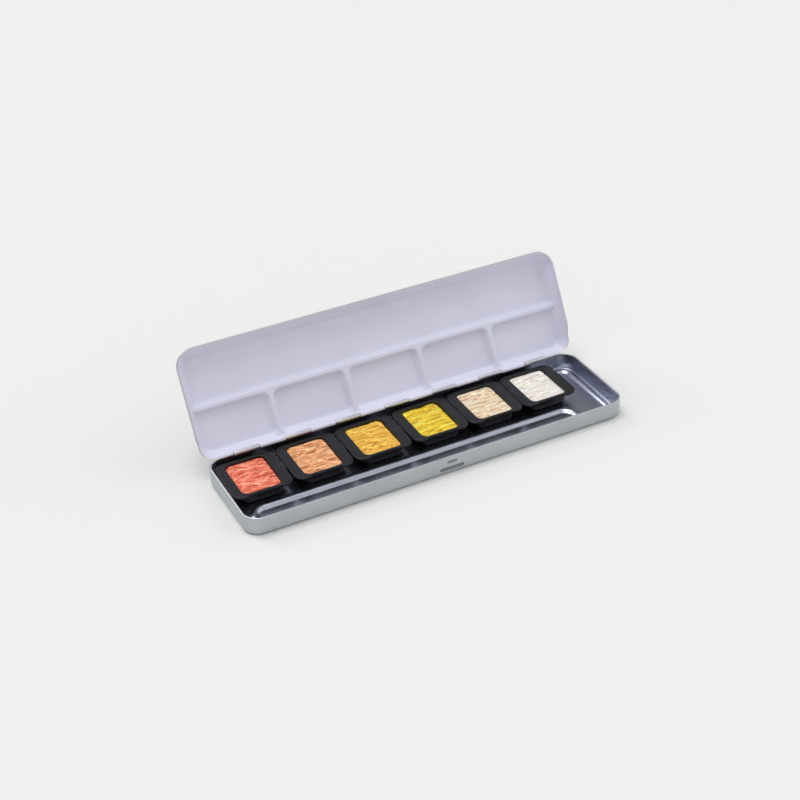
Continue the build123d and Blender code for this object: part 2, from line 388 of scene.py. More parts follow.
def enamel():
    """Baked lavender-white enamel, a little uneven in tone and gloss."""
    dark = (0.72, 0.72, 0.86)
    light = (0.75, 0.75, 0.89)
    m = Material("baked_enamel", (0.72, 0.72, 0.87), roughness=0.3)
    clouds = m.noise(size=22, detail=2)
    m.drive("Base Color", m.colors(clouds, [(0.35, dark), (0.65, light)]))
    m.drive("Roughness", m.between(m.noise(size=9, detail=2), 0.34, 0.42))
    m.set("Coat Weight", 0.2)
    m.set("Coat Roughness", 0.2)
    return m.material


def black_plastic():
    """Satin black moulded plastic."""
    m = Material("black_plastic", (0.010, 0.010, 0.012), roughness=0.34)
    m.set("Specular IOR Level", 0.38)
    grain = m.noise(size=0.22, detail=3)
    m.drive("Roughness", m.between(grain, 0.28, 0.42))
    m.bump([(grain, 0.012, 0.4), (m.noise(size=7, detail=2), 0.05, 0.2)])
    return m.material


def pearl_paint(name, valley, middle, crest):
    """Dry pearlescent paint with a fine mica sparkle: darker in its creases and lighter on its crests,
    partly the pigment's own tone and partly painted shade in the creases and painted highlight on the
    crests.
    """
    m = Material("paint_" + name, middle, roughness=0.42, metallic=0.3)
    relief = m.node("ShaderNodeAttribute", attribute_name="relief").outputs["Fac"]
    mica = m.noise(size=0.09, detail=2)
    combed = m.noise(size=0.5, detail=3, stretch=(2.5, 1, 1))
    # Colour follows the relief: partly the paint's own tone, partly painted shade in the creases and
    # painted highlight on the crests
    m.drive("Base Color", m.colors(relief, [(0.05, valley), (0.6, middle), (0.95, crest)]))
    m.drive("Roughness", m.between(mica, 0.26, 0.46))
    m.set("Coat Weight", 0.25)
    m.set("Coat Roughness", 0.25)
    m.bump([(combed, 0.06, 0.4), (mica, 0.012, 0.4)])
    return m.material


TINPLATE = tinplate_inside()
TRAY_OUTSIDE = satin_tin("satin_tin", (0.50, 0.535, 0.555))
# A darker tin on the faces of the nail groove and the catch pip
DARKER_MARK_TIN = satin_tin("darker_mark_tin", (0.24, 0.25, 0.262))
LID_OUTSIDE = satin_tin("satin_lid", (0.62, 0.63, 0.66))
# The rolled rim's tin: smoother than the walls' and lighter; the lighter colour is a painted highlight
# along the rim
ROLLED_RIM = satin_tin("rolled_rim_painted_highlight", (0.58, 0.60, 0.62), smooth=0.3, rough=0.4)
ENAMEL = enamel()
PLASTIC = black_plastic()


# ---------------------------------------------------------------- tray

# The floor's grid ends this far inside the tray's outline, where the wall's fillet starts
TRAY_INSET = 1.9
BOTTOM_RADIUS = 1.8
WALL_TOP = TRAY_HEIGHT - 1.2
FILLET_STEPS = 6
BOTTOM_STEPS = 8
INNER_WALL_LOOPS = 20
OUTER_WALL_LOOPS = 36

# Beads pressed up into the floor, and how the brush trough's floor rises away from the rib
BORDER_INSET = 4.0
BORDER_HALF = 2.1
BORDER_RISE = 1.0
RIB_HALF = 3.0
RIB_RISE = 1.3
RIB_LEFT = -103.5
RIB_RIGHT = 89.0
RIB_FROM_FRONT = 21.1
RIB_Y = TRAY_FRONT + RIB_FROM_FRONT
RIB_CORNER = 7.5
RIB_REACH = 20.0
RIB_FADE = 1.4
BEAD_SHAPE = 1.8
BEAD_BLEND = 0.15
TROUGH_RISE = 0.6
TROUGH_WIDTH = 12.0

# Where the floor's grid is fine: at the rib's ends, and along the border beads and the rib
FINE_COLUMNS = [(-TRAY_LENGTH, -93.0), (77.0, TRAY_LENGTH)]
FINE_ROWS = [(-TRAY_DEPTH, -22.5), (-17.5, -6.0), (22.5, TRAY_DEPTH)]
COARSE_COLUMN = 4.0
COARSE_ROW = 1.5

# Notches between the knuckles, each with two columns of points this far apart at its edge
NOTCH_CLEARANCE = 0.25
NOTCH_Z = HINGE_Z - BARREL - NOTCH_CLEARANCE
NOTCH_STEP = 0.03
HINGE_END = KNUCKLES * KNUCKLE_PITCH / 2 + KNUCKLE_GAP
TRAY_CURL = 325

# Rolled rim, with the narrow crease between it and the wall
HEM_WIDTH = 1.1
HEM_BASE = TRAY_HEIGHT - 1.05
HEM_RADIUS = 0.5
HEM_LIP = 0.28
HEM_LIP_RISE = 0.2
HEM_LIP_START = -60
HEM_CREASE = [(0, 0), (-0.05, 0.45), (-0.14, 0.02)]
LIP_STEPS = 4
ROLL_STEPS = 5
RIM_BASE = TRAY_HEIGHT - 1.15

# Nail groove and catch pip on the front wall
FRONT_MARK_X = 3.0
GROOVE_Z = 3.4
GROOVE_LENGTH = 15.0
GROOVE_HEIGHT = 2.4
GROOVE_DEPTH = 0.5
GROOVE_EASE = 0.7
PIP_Z = 7.6
PIP_LENGTH = 6.2
PIP_HEIGHT = 2.2
PIP_STAND = 0.2
PIP_EASE = 0.6
MARK_REACH = 8.5
MARK_STEP = 0.2
MARK_EDGE = 0.15
MARK_DEPTH = 0.7


def bead_rise(distance, half_width, rise):
    """A pressed bead's section."""
    t = np.clip(np.abs(distance) / half_width, 0, 1)
    return rise * (1 - t * t) ** BEAD_SHAPE


def tray_floor(x, y):
    """Height of the pressed floor's upper face. The rib's outline runs out over the front and fades."""
    half_x = TRAY_LENGTH / 2 - BORDER_INSET
    half_y = TRAY_DEPTH / 2 - BORDER_INSET
    border = box_distance(x, y, half_x, half_y, TRAY_CORNER - BORDER_INSET)
    rib_x = (RIB_LEFT + RIB_RIGHT) / 2
    rib = box_distance(x - rib_x, y - RIB_Y + RIB_REACH, (RIB_RIGHT - RIB_LEFT) / 2, RIB_REACH, RIB_CORNER)
    past_border = np.clip((-half_y - y) / BORDER_HALF, 0, 1)
    rib_rise = bead_rise(rib, RIB_HALF, RIB_RISE) * (1 - past_border**2) ** RIB_FADE
    slope = TROUGH_RISE * np.clip((rib - RIB_HALF) / TROUGH_WIDTH, 0, 1) * (border > 0)
    return SHEET + slope + smooth_max(bead_rise(border, BORDER_HALF, BORDER_RISE), rib_rise, BEAD_BLEND)


def hem_points():
    """The rolled rim's section as (distance outward of the floor grid, height)."""
    wall = TRAY_INSET - SHEET
    inner = TRAY_INSET - HEM_WIDTH
    shoulder = TRAY_HEIGHT - HEM_RADIUS
    roll = [(wall + across, HEM_BASE + up) for across, up in HEM_CREASE]
    roll += arc((inner + HEM_LIP, HEM_BASE + HEM_LIP_RISE), HEM_LIP, HEM_LIP_START, -180, LIP_STEPS)
    roll += arc((inner + HEM_RADIUS, shoulder), HEM_RADIUS, 180, 90, ROLL_STEPS)
    roll += arc((TRAY_INSET - HEM_RADIUS, shoulder), HEM_RADIUS, 90, 0, ROLL_STEPS)
    return roll


def slot_distance(x, z, centre_z, length, height):
    """Signed distance to a round-ended slot on the front wall, positive inside."""
    half = (length - height) / 2
    return height / 2 - np.hypot(np.maximum(np.abs(x - FRONT_MARK_X) - half, 0), z - centre_z)


def groove_distance(x, z):
    """Distance inside the nail groove's outline."""
    return slot_distance(x, z, GROOVE_Z, GROOVE_LENGTH, GROOVE_HEIGHT)


def pip_distance(x, z):
    """Distance inside the catch pip's outline."""
    return slot_distance(x, z, PIP_Z, PIP_LENGTH, PIP_HEIGHT)


def front_pressing(x, z):
    """How far the front wall is pushed in, at the nail groove, or out, at the catch pip."""
    groove = GROOVE_DEPTH * smooth_step(groove_distance(x, z) / GROOVE_EASE)
    return groove - PIP_STAND * smooth_step(pip_distance(x, z) / PIP_EASE)


def tray_panel():
    """The floor's grid, with columns at the edges of the knuckles and close together at the front marks."""
    half_x = TRAY_LENGTH / 2 - TRAY_INSET
    half_y = TRAY_DEPTH / 2 - TRAY_INSET
    stops = [-HINGE_END - NOTCH_STEP, -HINGE_END, HINGE_END, HINGE_END + NOTCH_STEP]
    for index in TRAY_KNUCKLES:
        x0, x1 = knuckle_span(index)
        stops += [x0 - NOTCH_STEP, x0, x1, x1 + NOTCH_STEP]
    stops += list(np.arange(FRONT_MARK_X - MARK_REACH, FRONT_MARK_X + MARK_REACH, MARK_STEP))
    xs = spaced(-half_x, half_x, COARSE_COLUMN, FINE_STEP, FINE_COLUMNS, stops)
    ys = spaced(-half_y, half_y, COARSE_ROW, FINE_STEP, FINE_ROWS)
    return Panel(xs, ys, TRAY_CORNER - TRAY_INSET)


def tray_loops(panel):
    """Loops up the wall's inside, over the rolled rim and down the outside, notched along the hinge."""
    ring_x = panel.ring_point[:, 0]
    at_hinge = (panel.ring_normal[:, 1] > SQUARE) & (np.abs(ring_x) < HINGE_END + SLACK)
    on_knuckle = np.zeros(len(ring_x), bool)
    for index in TRAY_KNUCKLES:
        x0, x1 = knuckle_span(index)
        on_knuckle |= (ring_x > x0 - SLACK) & (ring_x < x1 + SLACK)
    edge_height = np.where(on_knuckle, HINGE_Z, NOTCH_Z)

    def wall_loop(outward, height):
        return panel.loop(outward, np.where(at_hinge, np.minimum(height, NOTCH_Z), height))

    inside = TRAY_INSET - SHEET
    loops = [panel.loop(d, h) for d, h in arc((0, SHEET + inside), inside, -90, 0, FILLET_STEPS)[1:]]
    loops += [wall_loop(inside, h) for h in np.linspace(SHEET + inside, WALL_TOP, INNER_WALL_LOOPS)[1:]]
    rim = hem_points()
    for k, (distance, height) in enumerate(rim):
        plain = inside + SHEET * k / (len(rim) - 1)
        outward = np.where(at_hinge, plain, distance)
        loops.append(panel.loop(outward, np.where(at_hinge, edge_height, height)))
    outer_heights = np.linspace(WALL_TOP, BOTTOM_RADIUS, OUTER_WALL_LOOPS)[:-1]
    loops += [wall_loop(TRAY_INSET, h) for h in outer_heights]
    foot = arc((TRAY_INSET - BOTTOM_RADIUS, BOTTOM_RADIUS), BOTTOM_RADIUS, 0, -90, BOTTOM_STEPS)
    return loops + [panel.loop(d, h) for d, h in foot]


# The tray's materials by index, and what tells its sides apart
INSIDE, OUTSIDE, MARKED, RIM = range(4)
TRAY_MATERIALS = [TINPLATE, TRAY_OUTSIDE, DARKER_MARK_TIN, ROLLED_RIM]
STEEP = 0.5
RISING = 0.1
UNDERSIDE_TOP = 2.5


def tray_side(centre, normal):
    """Which of the tray's materials a face has, from its centre in millimetres and its normal."""
    x, y, z = centre
    in_mark = max(groove_distance(x, z), pip_distance(x, z)) > MARK_EDGE
    if in_mark and y < TRAY_FRONT + MARK_DEPTH and normal.y < STEEP:
        return MARKED
    in_wall = box_distance(x, y, (TRAY_LENGTH - SHEET) / 2, (TRAY_DEPTH - SHEET) / 2, TRAY_CORNER) > 0
    # The rim and the top of the wall take the lighter rim tin, a painted highlight
    if z > RIM_BASE and (in_wall or normal.z > RISING):
        return RIM
    under_floor = z < UNDERSIDE_TOP and normal.z < -STEEP
    return OUTSIDE if under_floor or not in_wall else INSIDE


def make_tray():
    """The tray's sheet: floor, walls, rolled rim, the notches along the hinge and the outside."""
    panel = tray_panel()
    top = tray_floor(panel.x, panel.y)
    verts, faces = panel.shell(top, tray_loops(panel), np.maximum(top - SHEET, 0))
    on_front = verts[:, 1] < TRAY_FRONT + SHEET + SLACK
    verts[:, 1] += np.where(on_front, front_pressing(verts[:, 0], verts[:, 2]), 0)
    tray = build_mesh("tray_sheet", verts, faces)
    shade_by_angle(tray, degrees=50)
    for material in TRAY_MATERIALS:
        tray.data.materials.append(material)
    for polygon in tray.data.polygons:
        polygon.material_index = tray_side(np.array(polygon.center) / MM, polygon.normal)
    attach(tray, "tray")
    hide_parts("base_tray")


make_tray()


def make_barrels():
    """Rolled knuckles of the tray: the wall's edge curled over the wire."""
    axis = (HINGE_Y, HINGE_Z)
    bore = BARREL - SHEET
    outline = [(HINGE_Y + BARREL, NOTCH_Z)]
    outline += arc(axis, BARREL, 0, TRAY_CURL, CURL_STEPS)
    outline += arc(axis, bore, TRAY_CURL, 0, CURL_STEPS)
    outline += [(HINGE_Y + bore, NOTCH_Z)]
    barrels = extruded_strip(outline, [knuckle_span(i) for i in TRAY_KNUCKLES], "tray_knuckles")
    shade_by_angle(barrels, degrees=35)
    # The tray's knuckles take the lid's lighter satin tin rather than the tray's own; the lighter colour is
    # a painted highlight along them
    barrels.data.materials.append(LID_OUTSIDE)
    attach(barrels, "tray")


make_barrels()


# ---------------------------------------------------------------- lid

# The lid is made closed, with v the distance in front of the hinge axis, and then turned open
lid_low, lid_high = node_box("lid")
LID_LENGTH = lid_high[0] - lid_low[0]
LID_OVERHANG = (LID_LENGTH - TRAY_LENGTH) / 2
LID_REACH = HINGE_Y - TRAY_FRONT + LID_OVERHANG
LID_REAR = -1.8
LID_DEPTH = LID_REACH - LID_REAR
LID_MIDDLE = (LID_REACH + LID_REAR) / 2
LID_CORNER = 10.0
SKIRT = -2.0
SLOPE_START = -1.0
SLOPE_RUN = 0.75

# The sheet's thickness measured level across its sloping wall
ACROSS = 0.5

# Mixing wells: ridges between them come down to CREST and their floors are at FLOOR
CREST = 3.2
FLOOR = 6.2
WELL_COUNT = 5
WELL_PITCH = 44.8
WELL_CORNER = 4.2
RIDGE_FOOT = 6.5
LONG_RIDGE = 27.5
BEYOND_EDGE = 10.0
CREST_BLEND = 0.3
FLOOR_BLEND = 0.45
WALL_BLEND = 0.4

# The wells' grid, and where it is fine: at the ends, the near and far sides and the ridges
LID_INSET = 1.4
REAR_INSET = 2.45
GRID_NEAR = LID_REAR + REAR_INSET
GRID_FAR = LID_REACH - LID_INSET
GRID_MIDDLE = (GRID_FAR + GRID_NEAR) / 2
FINE_END = 101.0
FINE_NEAR = 9.0
FINE_FAR = 10.0
FINE_RIDGE = 7.0
COARSE_LID_COLUMN = 3.0
COARSE_LID_ROW = 2.0

# Rolled edge: the points where the inner slope runs down to it and where it meets the outer slope
LID_HEM_WIDTH = 1.2
LID_HEM_RADIUS = 0.55
LID_LIP = 0.3
LID_LIP_Z = -1.15
INNER_SLOPE = [(0.12, 0.05), (0.40, -0.33), (0.62, -0.63), (0.74, -0.82)]
OUTER_BEND = [(0, LID_LIP_Z), (-0.06, -0.92), (-0.24, -0.68)]
OUTER_SLOPE = (-0.4, 0.6)
OUTER_SLOPE_POINTS = 4

# Border loops, from the inner grid, that are enamelled like it
ENAMELLED_LOOPS = 14

# The hinge side is cut back along a ramp at the lid's ends and a slanting line behind the axis
RAMP_START = 17.0
RAMP_END = 9.5
RAMP_FOOT = SKIRT - 0.1
TRIM_AT_AXIS = 1.66
TRIM_SLOPE = 0.559

# Knuckles' curls in degrees round the axis, and the tabs that they hang from
TAB_TOP = 2.0
TAB_FOOT = 0.35
LID_CURL_START = 83
LID_CURL_END = -235
LID_BORE_END = 88


def well_boxes():
    """Each well's middle x, half length, near edge and far edge. The outermost run out past the lid."""
    crest_gap = RIDGE_FOOT / 2 - (FLOOR - CREST) * SLOPE_RUN
    near = LID_REAR + ACROSS + (CREST - SLOPE_START) * SLOPE_RUN
    boxes = [(0.0, LID_LENGTH, LONG_RIDGE + crest_gap, LID_REACH + BEYOND_EDGE)]
    for index in range(WELL_COUNT):
        left = (index - WELL_COUNT / 2) * WELL_PITCH + crest_gap
        right = left + WELL_PITCH - 2 * crest_gap
        left = -LID_LENGTH if index == 0 else left
        right = LID_LENGTH if index == WELL_COUNT - 1 else right
        boxes.append(((left + right) / 2, (right - left) / 2, near, LONG_RIDGE - crest_gap))
    return boxes


def well_distance(x, v):
    """Signed distance to the nearest well's outline on the ridges' crests, positive inside."""
    distances = []
    for middle, half_length, near, far in well_boxes():
        half_depth = (far - near) / 2
        from_middle = v - near - half_depth
        distances.append(box_distance(x - middle, from_middle, half_length, half_depth, WELL_CORNER))
    return np.max(distances, axis=0)


def lid_distance(x, v):
    """Signed distance to the lid's outline, positive inside."""
    return box_distance(x, v - LID_MIDDLE, LID_LENGTH / 2, LID_DEPTH / 2, LID_CORNER)


def lid_height(x, v, outside):
    """How high the closed lid's sheet stands above the hinge, on its inner or its outer face."""
    depth = well_distance(x, v)
    wall = lid_distance(x, v)
    crest = CREST
    if outside:
        depth = depth + ACROSS - SHEET * SLOPE_RUN
        crest = CREST + SHEET
    else:
        wall = wall - ACROSS
    rise = smooth_max(depth / SLOPE_RUN, 0.0, CREST_BLEND)
    rise = smooth_min(rise, FLOOR - CREST, FLOOR_BLEND)
    return smooth_min(SLOPE_START + wall / SLOPE_RUN, crest + rise, WALL_BLEND)


def lid_hem():
    """The lid's rolled edge as (distance outward of the inner grid, height above the hinge)."""
    inner = LID_INSET - LID_HEM_WIDTH
    shoulder = SKIRT + LID_HEM_RADIUS
    roll = list(INNER_SLOPE)
    roll += arc((inner + LID_LIP, LID_LIP_Z), LID_LIP, 90, 180, LIP_STEPS)
    roll += arc((inner + LID_HEM_RADIUS, shoulder), LID_HEM_RADIUS, 180, 270, ROLL_STEPS)
    roll += arc((LID_INSET - LID_HEM_RADIUS, shoulder), LID_HEM_RADIUS, 270, 360, ROLL_STEPS)
    roll += [(LID_INSET + across, height) for across, height in OUTER_BEND]
    heights = np.linspace(*OUTER_SLOPE, OUTER_SLOPE_POINTS)
    return roll + [(LID_INSET - (h - SLOPE_START) * SLOPE_RUN, h) for h in heights]


def open_lid(verts):
    """Closed-lid points (x, v, height) put in the row frame with the lid open."""
    verts = np.asarray(verts, float)
    y = -verts[:, 1]
    z = verts[:, 2]
    c = cos(-OPEN_ANGLE)
    s = sin(-OPEN_ANGLE)
    return np.column_stack([verts[:, 0], HINGE_Y + y * c - z * s, HINGE_Z + y * s + z * c])


def rear_trim(v, lean):
    """Height of the lid's trimmed rear edge where its outline is at v and faces the hinge side by lean."""
    back = TRIM_SLOPE * SLOPE_RUN * lean
    return (TRIM_AT_AXIS - TRIM_SLOPE * v + back) / (1 - back)


def lid_panel():
    """The wells' grid, about its own middle."""
    half_x = LID_LENGTH / 2 - LID_INSET
    half_v = (GRID_FAR - GRID_NEAR) / 2
    long_ridge = LONG_RIDGE - GRID_MIDDLE
    ridges = [(i - WELL_COUNT / 2) * WELL_PITCH for i in range(1, WELL_COUNT)]
    columns = [(-half_x, -FINE_END), (FINE_END, half_x)]
    columns += [(ridge - FINE_RIDGE, ridge + FINE_RIDGE) for ridge in ridges]
    rows = [(-half_v, FINE_NEAR - half_v), (half_v - FINE_FAR, half_v)]
    rows += [(long_ridge - FINE_RIDGE, long_ridge + FINE_RIDGE)]
    xs = spaced(-half_x, half_x, COARSE_LID_COLUMN, FINE_STEP, columns)
    ys = spaced(-half_v, half_v, COARSE_LID_ROW, FINE_STEP, rows)
    return Panel(xs, ys, LID_CORNER - LID_INSET)


def lid_loops(panel):
    """Loops from the inner slope round the rolled edge to the outer slope, cut back at the hinge side."""
    ring_x = panel.ring_point[:, 0]
    ring_v = panel.ring_point[:, 1] + GRID_MIDDLE
    lean = panel.ring_normal[:, 1]
    ring_inset = lid_distance(ring_x, ring_v)
    trim = rear_trim(ring_v + lean * ring_inset, lean)
    loops = []
    for distance, height in lid_hem():
        inset = LID_INSET - distance
        point_v = ring_v + lean * (ring_inset - inset)
        cut = np.maximum(np.interp(point_v, [RAMP_END, RAMP_START], [0.0, RAMP_FOOT]), trim)
        lifted = np.maximum(height, cut)
        outer_inset = np.maximum(lifted - SLOPE_START, 0) * SLOPE_RUN
        inner_inset = np.maximum(LID_HEM_WIDTH, ACROSS + outer_inset)
        inset = np.where(height < cut, np.clip(inset, outer_inset, inner_inset), inset)
        loops.append(panel.loop(ring_inset - inset, lifted))
    return loops


def make_lid():
    """The lid's pressed sheet, enamelled inside and satin outside."""
    panel = lid_panel()
    v = panel.y + GRID_MIDDLE
    inner = lid_height(panel.x, v, outside=False)
    outer = lid_height(panel.x, v, outside=True)
    verts, faces = panel.shell(inner, lid_loops(panel), outer)
    verts[:, 1] += GRID_MIDDLE
    lid = build_mesh("lid_sheet", open_lid(verts), faces)
    enamelled = len(panel.faces()) + len(panel.ring) * ENAMELLED_LOOPS
    for material in (ENAMEL, LID_OUTSIDE):
        lid.data.materials.append(material)
    for polygon in lid.data.polygons:
        polygon.material_index = 0 if polygon.index < enamelled else 1
    flip_outward(lid)
    shade_by_angle(lid, degrees=60)
    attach(lid, "lid")
    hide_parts("lid")


make_lid()


def make_lid_knuckles():
    """Rolled knuckles of the lid, each on the tab of rear slope that was left long for it."""
    bore = BARREL - SHEET
    outer_foot = LID_REAR + (TAB_TOP - SLOPE_START) * SLOPE_RUN
    curl = arc((0, 0), BARREL, LID_CURL_START, LID_CURL_END, CURL_STEPS)
    curl += arc((0, 0), bore, LID_CURL_END, LID_BORE_END, CURL_STEPS)
    outline = [(outer_foot, TAB_TOP)]
    outline += [(-y, z) for y, z in curl]
    outline += [(TAB_FOOT, BARREL), (outer_foot + ACROSS, TAB_TOP)]
    knuckles = extruded_strip(outline, [knuckle_span(i) for i in LID_KNUCKLES], "lid_knuckles")
    points = np.array([vertex.co for vertex in knuckles.data.vertices]) / MM
    for vertex, point in zip(knuckles.data.vertices, open_lid(points)):
        vertex.co = point * MM
    flip_outward(knuckles)
    shade_by_angle(knuckles, degrees=35)
    knuckles.data.materials.append(ENAMEL)
    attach(knuckles, "lid")


make_lid_knuckles()


# ---------------------------------------------------------------- pans and paint

# Flange: its plate, its eased edges, the dip in its front edge and the nick in its right edge
PLATE = 1.2
PAN_CORNER = 5.5
PLATE_EDGE = 0.75
PLATE_FOOT = [(0.3, 0.0), (0.05, 0.25)]
FRONT_DIP = 0.9
DIP_HALF = 11.25
DIP_EASE = 3.2
NICK_Y = 9.0
NICK = 0.8

# Loops across the flange's flat top, as shares of the way from its edge to the opening
PLATE_SHARES = (0.08, 0.5, 0.92)

# Cup: drafted, with a rounded foot and a neck that flares into the plate
CUP_HALF_X = 12.0
CUP_HALF_Y = 15.0
CUP_SHIFT = 0.15
CUP_CORNER = 4.2
CUP_WALL = 0.75
CUP_DRAFT = 0.15
CUP_FOOT = 2.4
CUP_LIP = 0.3
CUP_FLOOR = 1.0
CUP_NECK = [(0.0, -0.35), (-0.12, -0.08), (-0.4, 0.0)]
FOOT_MIDDLE = 6.0
FLOOR_MIDDLE = 5.0
SIDE_STEPS = 44
CORNER_STEPS = 9
CUP_FOOT_STEPS = 6
PLATE_EDGE_STEPS = 7


def outline_points(half_x, half_y, radius, centre_y):
    """A rounded rectangle's points from the front's left end, anticlockwise, with their normals."""
    points = []
    normals = []
    corners = np.array([(1, -1), (1, 1), (-1, 1), (-1, -1)]) * (half_x - radius, half_y - radius)
    for index, corner in enumerate(corners):
        heading = radians(90 * index - 90)
        facing = np.array([cos(heading), sin(heading)])
        before = corners[index - 1]
        for share in np.arange(SIDE_STEPS) / SIDE_STEPS:
            points.append(before + (corner - before) * share + facing * radius)
            normals.append(facing)
        for share in np.arange(CORNER_STEPS) / CORNER_STEPS:
            angle = heading + radians(90) * share
            facing = np.array([cos(angle), sin(angle)])
            points.append(corner + facing * radius)
            normals.append(facing)
    return np.array(points) + (0, centre_y), np.array(normals)


def pan_rim(half_x, half_y):
    """The flange's outline, dipped at the front and nicked at the right, with its normals."""
    rim, normal = outline_points(half_x, half_y, PAN_CORNER, 0)
    dip = FRONT_DIP * smooth_step((DIP_HALF - np.abs(rim[:, 0])) / DIP_EASE) * (normal[:, 1] < -SQUARE)
    nick = NICK * np.sqrt(np.clip(1 - ((rim[:, 1] - NICK_Y) / NICK) ** 2, 0, 1)) * (normal[:, 0] > SQUARE)
    return rim - normal * (dip + nick)[:, None], normal


def pan_loops(half_x, half_y, bottom, top):
    """Loops from the cup's underside, out round the flange and down the inside to the cup's floor."""
    rim, rim_normal = pan_rim(half_x, half_y)

    def cup_loop(inset, height):
        gap = inset + CUP_DRAFT * (top - height)
        points, _ = outline_points(CUP_HALF_X - gap, CUP_HALF_Y - gap, CUP_CORNER - gap, CUP_SHIFT)
        return np.column_stack([points, np.full(len(points), height)])

    def rim_loop(inset, height):
        return np.column_stack([rim - rim_normal * inset, np.full(len(rim), height)])

    under = top - PLATE
    lip_inset = CUP_WALL - CUP_LIP
    loops = [cup_loop(FOOT_MIDDLE, bottom)]
    foot = arc((CUP_FOOT, bottom + CUP_FOOT), CUP_FOOT, 270, 180, CUP_FOOT_STEPS)
    loops += [cup_loop(inset, height) for inset, height in foot]
    loops += [cup_loop(inset, under + rise) for inset, rise in CUP_NECK]
    loops += [rim_loop(inset, under + rise) for inset, rise in PLATE_FOOT]
    edge = arc((PLATE_EDGE, top - PLATE_EDGE), PLATE_EDGE, 180, 90, PLATE_EDGE_STEPS)
    loops += [rim_loop(inset, height) for inset, height in edge]
    outer = loops[-1]
    opening = cup_loop(lip_inset, top)
    loops += [outer * (1 - share) + opening * share for share in PLATE_SHARES]
    lip = arc((lip_inset, top - CUP_LIP), CUP_LIP, 90, 0, LIP_STEPS)
    loops += [cup_loop(inset, height) for inset, height in lip]
    loops += [cup_loop(CUP_WALL, bottom + CUP_FLOOR), cup_loop(FLOOR_MIDDLE, bottom + CUP_FLOOR)]
    return loops


def make_pan(number):
    """A moulded pan with eased edges, a dipped front edge and a nick at its right."""
    low, high = node_box(f"pan_{number}")
    centre = (low + high) / 2
    half = (high - low) / 2
    loops = pan_loops(half[0], half[1], low[2], high[2])
    rings = np.arange(len(loops) * len(loops[0])).reshape(len(loops), -1)
    verts = np.concatenate(loops) + (centre[0], centre[1], 0)
    pan = build_mesh(f"pan_shell_{number}", verts, tube_faces(rings))
    flip_outward(pan)
    shade_by_angle(pan, degrees=40)
    pan.data.materials.append(PLASTIC)
    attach(pan, f"pan_{number}")
    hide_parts(f"pan_{number}")


# Paint blocks: how far the combed top lies under the CAD block's, and how its edge rolls over,
# as (share of the ease outward, drop) pairs
CAKE_CORNER = 3.1
CAKE_STEP = 0.2
CAKE_EASE = 0.45
CAKE_SUNK = 0.7
CAKE_EDGE = [(0.5, 0.06), (0.85, 0.22), (1.0, 0.5)]
CAKE_SIDE_INSET = 0.35
CAKE_SIDE_DROP = 3.0
CAKE_FOOT_SCALE = 0.93
CAKE_FOOT_RISE = 0.05

# Relief of the top, which is calmer near its edge
RELIEF_DEPTH = 1.15
RELIEF_LEVEL = 0.75
# The rolled edge, the sides and the foot take the colour ramp at this value, darker than the top's middle
# colour
RELIEF_ON_SIDES = 0.35
CALM_WIDTH = 1.2
CALM_SHARE = 0.35

# Families of combed creases: spacing, lean in degrees, width as a share of the spacing, and depth
CREASES = [
    (3.0, -2, 0.20, 0.6),
    (4.2, 7, 0.12, 0.5),
    (4.6, -10, 0.11, 0.5),
    (1.25, 1, 0.25, 0.18),
]
UNCREASED = 0.82
SWELL = 0.10
WANDER = 0.26
JITTER = 0.05


def waves(x, y, shortest, longest, spread, count, random):
    """A sum of waves that run roughly along x, so that their crests wander, join and part."""
    total = np.zeros(len(x))
    for _ in range(count):
        length = random.uniform(shortest, longest)
        heading = random.normal(0, spread)
        phase = random.uniform(0, 2 * pi)
        total += np.sin(2 * pi / length * (x * sin(heading) + y * cos(heading)) + phase)
    return total / np.sqrt(count / 2)


def creases(along, across, spacing, lean, width, random):
    """One family of roughly parallel creases that wander and fade in and out."""
    turned = across * cos(radians(lean)) - along * sin(radians(lean))
    wander = WANDER * waves(along, across, shortest=9, longest=20, spread=1.2, count=8, random=random)
    wander += JITTER * waves(along, across, shortest=3, longest=7, spread=1.2, count=8, random=random)
    phase = turned / spacing + wander + random.uniform(0, 1)
    gap = np.abs(phase - np.round(phase))
    fading = waves(along, across, shortest=5, longest=14, spread=0.6, count=10, random=random)
    return np.exp(-((gap / width) ** 2)) * smooth_step((1 + fading) / 2)


def turned_points(x, y, degrees):
    """Points turned about the origin, anticlockwise."""
    c = cos(radians(degrees))
    s = sin(radians(degrees))
    return x * c - y * s, x * s + y * c


def ripple(x, y, lean, seed):
    """Combed ripples, 0 in the creases and 1 on the crests: wandering lines that join, part and fade."""
    random = np.random.RandomState(seed)
    along, across = turned_points(x, y, -lean)
    relief = np.full(len(x), UNCREASED)
    for spacing, family_lean, width, depth in CREASES:
        relief -= depth * creases(along, across, spacing, family_lean, width, random)
    relief += SWELL * waves(along, across, shortest=2.5, longest=8, spread=0.25, count=10, random=random)
    return np.clip(relief, 0, 1)


